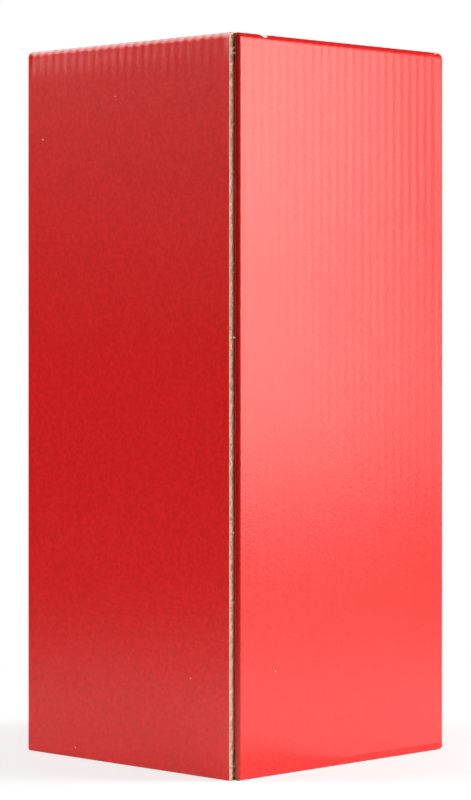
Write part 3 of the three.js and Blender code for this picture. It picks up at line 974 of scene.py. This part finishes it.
def build_body():
    """The four walls with their two liners, and the bottom flaps."""
    walls = piece_from(printed_walls(), "printed_walls", [PRINT, EDGE])
    thickened(walls)
    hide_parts("carton_body")
    inside = piece_from(kraft_walls(), "kraft_walls", [BARE, EDGE])
    thickened(inside, back=0)
    radii = [BOTTOM_RADIUS, DIP_RADIUS, DIP_RADIUS + BOARD]
    for wall in (RIGHT_WALL, LEFT_WALL):
        board_flap("bottom_side_flap_" + wall.name, wall, bottom_corners(LAYER, SIDE_FLAP_LENGTH),
                   radii[:2], [side_bottom_table(wall)])
    board_flap("bottom_lock_flap", BACK_WALL, lock_corners(), radii, [lock_table()])
    board_flap("bottom_slot_flap", FRONT_WALL, bottom_corners(2 * LAYER, SLOT_FLAP_LENGTH),
               radii[:2], slot_tables())


def build_open_ends():
    """The flutes in view at the cut ends of the front wall and of the flaps under the lid."""
    start, end = wall_limits(FRONT_WALL)
    medium_ribbon("front_wall_flutes", (LEFT + start, FRONT - BOARD, HEIGHT - FRONT_EDGE_DROP),
                  (1, 0, 0), (0, 1, 0), (0, 0, 1), end - start, "carton")
    level = HEIGHT - 2 * BOARD - DUST_CLEARANCE
    near = BACK + DUST_BACK_CUT + DUST_CHAMFER
    far = FRONT - DUST_FRONT_CUT - DUST_CHAMFER
    for side, side_name, x in ((-1, "left", LEFT + DUST_LENGTH), (1, "right", RIGHT - DUST_LENGTH)):
        medium_ribbon("dust_flap_flutes_" + side_name, (x, near, level),
                      (0, 1, 0), (0, 0, 1), (-side, 0, 0), far - near, "carton")
    edge_medium("joint_edge_flute", (LEFT, BACK + JOINT_SETBACK, BOTTOM_RADIUS), (0, 0, 1),
                (1, 0, 0), (0, 1, 0), FOLD_START - BOTTOM_RADIUS, "carton", CUT, 700)


def build_edge_curl():
    """The left wall's cut edge where it goes over the top fold."""
    path = folded_path(dust_corners(), DUST_RADII, PATH_STEP)
    path = path[(path[:, 1] > FOLD_START) & (path[:, 0] < EDGE_CURL_REACH)]
    path = np.vstack([[(0, FOLD_START)], path])
    grid = []
    for (u, z), (tu, tz) in zip(path, tangents(path)):
        row = []
        for share in np.linspace(LINER, BOARD - LINER, 5):
            cut = BACK + JOINT_SETBACK + EDGE_CURL_INSET + EDGE_CURL_RAG * noise.random()
            row.append((LEFT + u + tz * share, cut, z - tu * share))
        grid.append(row)
    add_middle_layer("joint_edge_curl", grid, CUT, "carton", flip=True)


def lid_path(inner):
    """The lid's outer or inner face, from past its crease to the tuck flap's end."""
    path = folded_path(lid_corners(), [TOP_RADIUS, TOP_RADIUS], LID_STEP, inner)
    on_top = (path[:, 0] >= TOP_RADIUS - SLACK) & (path[:, 1] > HEIGHT - 2 * BOARD)
    path = path[int(np.argmax(on_top)):]
    if inner:
        return path
    near = [(path[0, 0] + NEAR_STEP * k, path[0, 1]) for k in range(NEAR_STEPS)]
    return np.vstack([near, path[path[:, 0] > near[-1][0] + NEAR_GAP]])


def lid_strip(inner):
    """One face of the lid and its tuck flap, whose corners are round."""
    columns = fine_columns(np.linspace(LID_SIDE, WIDTH - LID_SIDE, LID_COLUMNS))
    path = lid_path(inner)
    round_start = HEIGHT - TUCK_LENGTH + TUCK_CORNER
    ranges = []
    for u, z in path:
        drop = max(0, round_start - z)
        inset = TUCK_CORNER - math.sqrt(max(0, TUCK_CORNER ** 2 - drop ** 2))
        ranges.append((LID_SIDE + inset, WIDTH - LID_SIDE - inset))
    bulge = np.full(len(path), 0 if inner else LID_RIB_DEPTH)
    grid = fold_surface(BACK_WALL, columns, path, ranges, bulge)
    return grid if inner else with_nick(grid)


def build_lid():
    """The lid's two liners, and the middle layer in view along its three cut edges."""
    print_mesh = bmesh.new()
    add_grid(print_mesh, lid_strip(False))
    outer = piece_from(print_mesh, "lid_print", [PRINT, EDGE, TORN], "lid")
    thickened(outer)
    bare_nick(outer)
    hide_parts("lid_flap")
    kraft_mesh = bmesh.new()
    add_grid(kraft_mesh, lid_strip(True), flip=True)
    inner = piece_from(kraft_mesh, "lid_inside", [BARE, EDGE], "lid")
    thickened(inner, back=0)
    through = (0, math.cos(TUCK_LEAN), -math.sin(TUCK_LEAN))
    out = (0, -math.sin(TUCK_LEAN), -math.cos(TUCK_LEAN))
    width = WIDTH - 2 * LID_SIDE - 2 * TUCK_CORNER
    tuck_u, tuck_z = lid_corners()[-1]
    start = np.array((-width / 2, BACK + tuck_u, tuck_z)) - BOARD * np.array(through)
    medium_ribbon("tuck_flap_flutes", start, (1, 0, 0), through, out, width, "lid", 5 * MM)
    length = DEPTH - 2 * BOARD - TOP_RADIUS
    for side, side_name, x in ((-1, "left", LEFT + LID_SIDE), (1, "right", RIGHT - LID_SIDE)):
        edge_medium("lid_edge_flute_" + side_name, (x, BACK + TOP_RADIUS, HEIGHT - BOARD),
                    (0, 1, 0), (0, 0, 1), (-side, 0, 0), length, "lid", EDGE, 90)


def build_lid_fold():
    """The crease between the back wall and the lid."""
    side = LID_SIDE + CREASE_SIDE
    columns = fine_columns(np.linspace(side, WIDTH - side, LID_COLUMNS))
    for inner in (False, True):
        path = folded_path(lid_corners()[:3], [TOP_RADIUS], PATH_STEP, inner)
        inside = BOARD if inner else 0
        keep = (path[:, 1] > FOLD_START + SLACK) & (path[:, 0] < TOP_RADIUS - SLACK)
        path = np.vstack([[(inside, FOLD_START)], path[keep],
                          [(TOP_RADIUS, HEIGHT - inside)]])
        bulge = fold_bulge(path, TOP_RADIUS, 0 if inner else 0.6 * ROLL_RIB_DEPTH)
        ranges = [(columns[0], columns[-1])] * len(path)
        grid = fold_surface(BACK_WALL, columns, path, ranges, bulge)
        mesh = bmesh.new()
        add_grid(mesh, grid if inner else with_nick(grid), flip=inner)
        name = "lid_fold_inside" if inner else "lid_fold_print"
        piece = piece_from(mesh, name, [BARE if inner else PRINT, EDGE, TORN], None)
        thickened(piece, back=0 if inner else 1)
        if not inner:
            bare_nick(piece)
        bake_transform(piece)


def add_fibre(mesh, side, share, lean, size, half):
    """A torn fibre: a thin tapering strip that bends away from the cut. side is its distance from
    the wall's outer face, share its height, size its length and half its half width."""
    base = np.array((LEFT + side, BACK + JOINT_SETBACK, HEIGHT * share))
    lean = np.array(lean) / np.linalg.norm(lean)
    points = []
    for k in range(FIBRE_STEPS + 1):
        t = k / FIBRE_STEPS
        bend = np.array((0.1 * math.sin(3 * t), 0, 0.25 * t * t)) * size
        at = base + lean * size * t + bend
        at[0] = max(at[0], LEFT + FIBRE_SIDE_GAP)
        at[1] = max(at[1], BACK + FIBRE_BACK_GAP)
        width = half * (1 - 0.8 * t)
        top = at + (0, 0, width)
        points.append([top, at + (width, 0, 0), at - (0, 0, width), at - (width * 0.4, 0, 0), top])
    add_grid(mesh, np.array(points))


def build_fibres():
    """Torn paper fibres along the left wall's cut edge: a few long ones and many short ones."""
    mesh = bmesh.new()
    for share, side, size, rise in LONG_FIBRES:
        lean = (0.35 if side > 1 else -0.1, -0.8, rise)
        add_fibre(mesh, side * MM, share, lean, size * MM, LONG_FIBRE_HALF)
    for _ in range(SHORT_FIBRES):
        side = random.choice((0.05, 0.15, LINER / MM, 0.8, 1.25, 1.45))
        share = random.uniform(0.01, 0.98)
        lean = (random.uniform(-0.5, 0.5), -0.6, random.uniform(-1.6, 1.6))
        size = random.uniform(0.15, 0.45)
        half = random.uniform(0.07, 0.14)
        add_fibre(mesh, side * MM, share, lean, size * MM, half * MM)
    weld(mesh, FINE_WELD)
    piece_from(mesh, "joint_fibres", [TORN])


def speck_grid(wall, from_joint, height, radius, lift):
    """A flat round speck on a wall's face, sizes in mm."""
    s = from_joint * MM if wall is BACK_WALL else wall.length - from_joint * MM
    ring = []
    for k in range(SPECK_SIDES + 1):
        a = 2 * math.pi * k / SPECK_SIDES
        ds = radius * MM * math.cos(a)
        dz = 0.8 * radius * MM * math.sin(a)
        ring.append(wall.place(s + ds, 0.5 * SKIN, height * MM + dz))
    centre = wall.place(s, lift, height * MM)
    return np.array([ring, [centre] * (SPECK_SIDES + 1)])


def build_specks():
    """A few specks caught under the film: pale ones of dust and dark ones of ink."""
    for kind, material, lift in (("pale", TORN, 0.3 * SKIN), ("dark", INK, 0.5 * SKIN)):
        mesh = bmesh.new()
        for wall, from_joint, height, radius, shade in SPECKS:
            if shade == kind:
                place = BACK_WALL if wall == "back" else LEFT_WALL
                add_grid(mesh, speck_grid(place, from_joint, height, radius, lift))
        weld(mesh, FINE_WELD)
        piece_from(mesh, "specks_" + kind, [material])


build_body()
build_open_ends()
build_lid()
build_lid_fold()
build_edge_curl()
build_fibres()
build_specks()


# Camera, floor and light

def add_camera():
    """A level camera in front of the joint."""
    ahead = Vector((math.sin(-AZIMUTH), math.cos(AZIMUTH), 0))
    aside = Vector((math.cos(AZIMUTH), -math.sin(-AZIMUTH), 0))
    data = bpy.data.cameras.new("camera")
    data.lens = LENS
    data.sensor_width = SENSOR
    data.shift_y = SHIFT_Y
    data.clip_start = 0.01
    camera = add_object("camera", data)
    near_corner = Vector((LEFT, BACK, EYE_HEIGHT))
    camera.location = near_corner - ahead * DISTANCE + aside * SIDESTEP
    camera.rotation_euler = (math.pi / 2, 0, AZIMUTH)
    bpy.context.scene.camera = camera


FLOOR_REACH = 6.0
FLOOR_DROP = 0.05 * MM
# The floor's colour near the carton, and the painted darkness further out that stands in for the unlit
# room around the set.
FLOOR_NEAR = (0.85, 0.85, 0.85)
FLOOR_FAR_PAINTED_DARK = (0.03, 0.03, 0.03)
PAINTED_DARK_RANGE = (0.12, 0.5)  # distances over which the floor's colour goes from pale to the painted darkness further out
WHITE_RANGE = (0.05, 0.22)  # distances over which the camera sees the floor go white
WHITE_SHARES = (0.6, 1)
WORLD_LIGHT = 0.03


def floor_material():
    """A pale floor that goes white with distance for the camera. For other rays its colour is painted
    dark with distance, standing in for the unlit room around the set.
    """
    material, tree, shader = new_material("pale_floor", (0.88, 0.88, 0.88), 0.9, 0.1)
    white = node(tree, "ShaderNodeEmission")
    light_path = node(tree, "ShaderNodeLightPath")
    away = node(tree, "ShaderNodeVectorMath", operation="LENGTH")
    tree.links.new(object_coordinates(tree), away.inputs[0])
    distance = away.outputs["Value"]
    # Painted darkness: away from the carton the floor's colour fades to nearly black, so gloss and
    # bounce light see shade there.
    far = map_range(tree, distance, PAINTED_DARK_RANGE, kind="SMOOTHSTEP")
    shade = ramp(tree, far, [(0, FLOOR_NEAR), (1, FLOOR_FAR_PAINTED_DARK)])
    tree.links.new(shade, shader.inputs["Base Color"])
    fade = map_range(tree, distance, WHITE_RANGE, WHITE_SHARES, "SMOOTHSTEP")
    seen = node(tree, "ShaderNodeMath", operation="MULTIPLY")
    tree.links.new(fade, seen.inputs[0])
    tree.links.new(light_path.outputs["Is Camera Ray"], seen.inputs[1])
    blend = node(tree, "ShaderNodeMixShader")
    tree.links.new(seen.outputs["Value"], blend.inputs["Fac"])
    tree.links.new(shader.outputs["BSDF"], blend.inputs[1])
    tree.links.new(white.outputs["Emission"], blend.inputs[2])
    output = tree.nodes["Material Output"]
    tree.links.new(blend.outputs["Shader"], output.inputs["Surface"])
    return material


def add_floor():
    """A wide square just below the carton."""
    mesh = bpy.data.meshes.new("floor")
    reach = FLOOR_REACH
    corners = [(-reach, -reach, 0), (reach, -reach, 0), (reach, reach, 0), (-reach, reach, 0)]
    mesh.from_pydata(corners, [], [(0, 1, 2, 3)])
    mesh.materials.append(floor_material())
    floor = add_object("floor", mesh)
    floor.location.z = -FLOOR_DROP


def add_world():
    """White for the camera, and almost dark for everything else."""
    world = bpy.data.worlds.new("studio")
    world.use_nodes = True
    tree = world.node_tree
    background = tree.nodes["Background"]
    light_path = node(tree, "ShaderNodeLightPath")
    seen = map_range(tree, light_path.outputs["Is Camera Ray"], (0, 1), (WORLD_LIGHT, 1))
    tree.links.new(seen, background.inputs["Strength"])
    background.inputs["Color"].default_value = (1, 1, 1, 1)
    bpy.context.scene.world = world


def add_softbox(name, place, aim, width, height, level, glossy=False):
    """A soft lamp, which either lights surfaces or shows in their gloss. level is its brightness."""
    data = bpy.data.lights.new(name, "AREA")
    data.shape = "RECTANGLE"
    data.size = width
    data.size_y = height
    data.energy = level * math.pi * width * height
    lamp = add_object(name, data)
    lamp.location = place
    towards = Vector(aim) - Vector(place)
    lamp.rotation_euler = towards.to_track_quat("-Z", "Y").to_euler()
    lamp.visible_camera = False
    lamp.visible_diffuse = not glossy
    lamp.visible_glossy = glossy


MIDDLE = (0, 0, HEIGHT / 2)

# Lamps that light surfaces: name, place, aim, width, height and level.
LIGHTS = [
    ("right_light", (0.95, -0.95, 0.45), MIDDLE, 0.7, 0.8, 25),
    ("front_light", (-0.75, -0.75, 0.5), MIDDLE, 0.7, 0.7, 2.0),
    ("left_light", (-0.95, 0.95, 0.6), MIDDLE, 0.6, 0.8, 15),
    ("top_light", (0.05, 0.1, 1.5), MIDDLE, 0.8, 0.8, 3.0),
]

# Lamps that only show in the gloss.
GLOSS_LIGHTS = [
    ("right_gloss", (0.6, -0.94, 0.53), (0, 0, 0.53), 0.6, 0.7, 5.5),
    ("right_middle_gloss", (0.6, -0.94, 0.12), (0, 0, 0.12), 0.6, 0.12, 3.9),
    ("right_lower_gloss", (0.6, -0.94, 0.03), (0, 0, 0.03), 0.62, 0.07, 3.2),
    ("left_gloss", (-0.66, 0.99, 0.4), (0, 0, 0.4), 0.38, 0.13, 1.9),
    ("back_gloss", (-0.1, 1.14, 1.12), (0, 0, 0.17), 1.7, 1.15, 3.4),
    ("right_low_gloss", (1.2, -1.2, -0.1), (0, 0, 0.1), 1.6, 0.5, 1.0),
    ("right_floor_gloss", (0.3, -0.3, 0.002), (0.3, -0.3, 1), 0.6, 0.6, 0.75),
]

add_camera()
add_floor()
add_world()
for light in LIGHTS:
    add_softbox(*light)
for light in GLOSS_LIGHTS:
    add_softbox(*light, glossy=True)

bpy.context.scene.view_settings.view_transform = "Standard"
